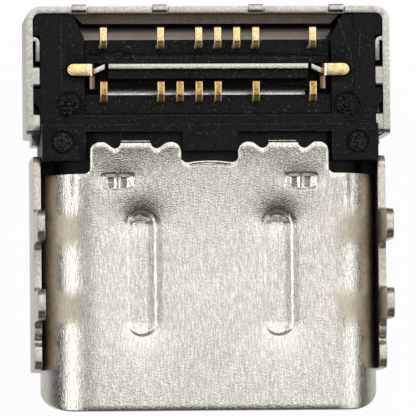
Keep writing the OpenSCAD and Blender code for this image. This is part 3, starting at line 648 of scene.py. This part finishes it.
# Shade sheet: a dull brown strip along the inside of the cover's rear wall, which is no real part but painted
# shade for the wall's inner face.
# It is a thin box, and is a little wider and higher at the wall.
shade_sheet_dark, shade_sheet_light = (0.20, 0.16, 0.12, 1), (0.32, 0.27, 0.22, 1)
shade_sheet_finish, shader, tree, place = new_finish("painted_wall_shade")
speck = grain(tree, place, (14, 14, 14), 2.0)
link(shader, Base_Color=speck.steps(0.3, 0.7).mix(shade_sheet_dark, shade_sheet_light), Specular_IOR_Level=0.2,
     Roughness=speck * 0.2 + 0.45, Normal=speck.dents(0.5, 0.01 * mm))
shade_sheet_half, shade_sheet_flare, shade_sheet_y, shade_sheet_reach = 3.38, 0.12, 4.99, 0.115
shade_sheet_z, shade_sheet_slope, shade_sheet_thin = 2.1, 0.02, 0.01
bm = bmesh.new()
bmesh.ops.create_cube(bm, size=2)
for vert in bm.verts:
    x, y, z = vert.co
    vert.co = Vector((x * (shade_sheet_half + shade_sheet_flare * y), shade_sheet_y + shade_sheet_reach * y,
                      shade_sheet_z + shade_sheet_slope * y + shade_sheet_thin * z)) * mm
rear_shade_sheet = new_piece(bm, "rear_wall_shade_sheet", shade_sheet_finish, smooth=False)
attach(rear_shade_sheet, "root")


# Studio: a white floor in a dim room with paler ends, two soft boxes above and one at each side.
# A long lens looks almost straight down at the solder side.
white = (1, 1, 1, 1)
floor_finish, shader, tree, place = new_finish("floor_white")
link(shader, Base_Color=(0.9, 0.9, 0.9, 1), Roughness=0.9)
seen, mirrored, through = [tree.node("ShaderNodeLightPath", out=f"Is {ray} Ray")
                           for ray in ("Camera", "Glossy", "Transmission")]
away = tree.node("ShaderNodeVectorMath", {"operation": "LENGTH"}, {0: place}, 1)
near_grey, far_grey = (0.8, 0.8, 0.8, 1), (0.08, 0.08, 0.08, 1)
shown = mirrored.mix(white, away.steps(4 * mm, 15 * mm).mix(near_grey, far_grey))
glow = tree.node("ShaderNodeEmission", {}, {"Color": shown, "Strength": 1.0})
both = tree.node("ShaderNodeMixShader", {}, {0: (seen + through) * 0.96 + mirrored,
                                             1: Shade(tree.tree, shader.outputs[0]), 2: glow})
tree.tree.links.new(both.socket, tree.tree.nodes["Material Output"].inputs[0])
bm = bmesh.new()
bmesh.ops.create_grid(bm, x_segments=2, y_segments=2, size=3.0)
bmesh.ops.translate(bm, verts=bm.verts, vec=(0, 0, -0.002 * mm))
floor = new_piece(bm, "floor", floor_finish, smooth=False)

world = bpy.data.worlds.new("studio")
world.use_nodes = True
bpy.context.scene.world = world
sky = Shade(world.node_tree)
seen = sky.node("ShaderNodeLightPath", out="Is Camera Ray")
_, back, up = axes(sky.node("ShaderNodeTexCoord", out="Generated"))
front_dim, rear_dim = (0.05, 0.047, 0.042, 1), (0.22, 0.22, 0.22, 1)
front_pale, rear_pale = (0.17, 0.168, 0.16, 1), (0.34, 0.34, 0.335, 1)
walls = (up.steps(0.0, 0.4) * back.steps(-0.3, 0.2)).mix(front_dim, rear_dim)
ends = back.steps(-0.1, 0.1).mix(front_pale, rear_pale)
at_ends = up.band(0.06, 0.2, 0.55, 0.75) * abs(back).steps(0.55, 0.8)
room = sky.node("ShaderNodeBackground", {}, {"Color": at_ends.mix(walls, ends), "Strength": 1.0})
backdrop = sky.node("ShaderNodeBackground", {}, {"Color": white, "Strength": 1.0})
both = sky.node("ShaderNodeMixShader", {}, {0: seen, 1: room, 2: backdrop})
sky.tree.links.new(both.socket, sky.tree.nodes["World Output"].inputs[0])


def soft_box(name, toward, distance, wide, long, radiance):
    """A soft box that shines at the socket from a direction; long runs along Y."""
    lamp = bpy.data.lights.new(name, "AREA")
    lamp.shape = "RECTANGLE"
    lamp.size = wide
    lamp.size_y = long
    lamp.energy = math.pi * wide * long * radiance
    box = bpy.data.objects.new(name, lamp)
    back = Vector(toward).normalized()
    right = Vector((0, 1, 0)).cross(back).normalized()
    up = back.cross(right)
    box.matrix_world = Matrix.Translation(back * distance) @ Matrix((right, up, back)).transposed().to_4x4()
    bpy.context.scene.collection.objects.link(box)


soft_box("box_above", (0.27, 0.36, 1.0), 0.30, 0.34, 0.25, 0.565)
soft_box("box_fill", (0.11, 0.39, 1.0), 0.32, 0.86, 0.28, 0.45)
soft_box("box_left", (-0.85, 0.0, 0.53), 0.30, 0.12, 0.40, 1.7)
soft_box("box_right", (0.92, 0.0, 0.41), 0.30, 0.10, 0.40, 1.42)

camera = bpy.data.cameras.new("photo_camera")
camera.lens = 532.4
camera.clip_start = 0.02
view = bpy.data.objects.new("photo_camera", camera)
roll, tilt, swing = math.radians(0.55), math.radians(-3.26), math.radians(4.54)
turn = Matrix.Rotation(roll, 3, "Z") @ Matrix.Rotation(tilt, 3, "X") @ Matrix.Rotation(swing, 3, "Y")
aim, stand_off = Vector((-0.051, -0.02, 2.75)) * mm, 0.1609
view.matrix_world = Matrix.Translation(aim + turn.row[2] * stand_off) @ turn.transposed().to_4x4()
bpy.context.scene.collection.objects.link(view)
bpy.context.scene.camera = view
bpy.context.scene.view_settings.view_transform = "Standard"
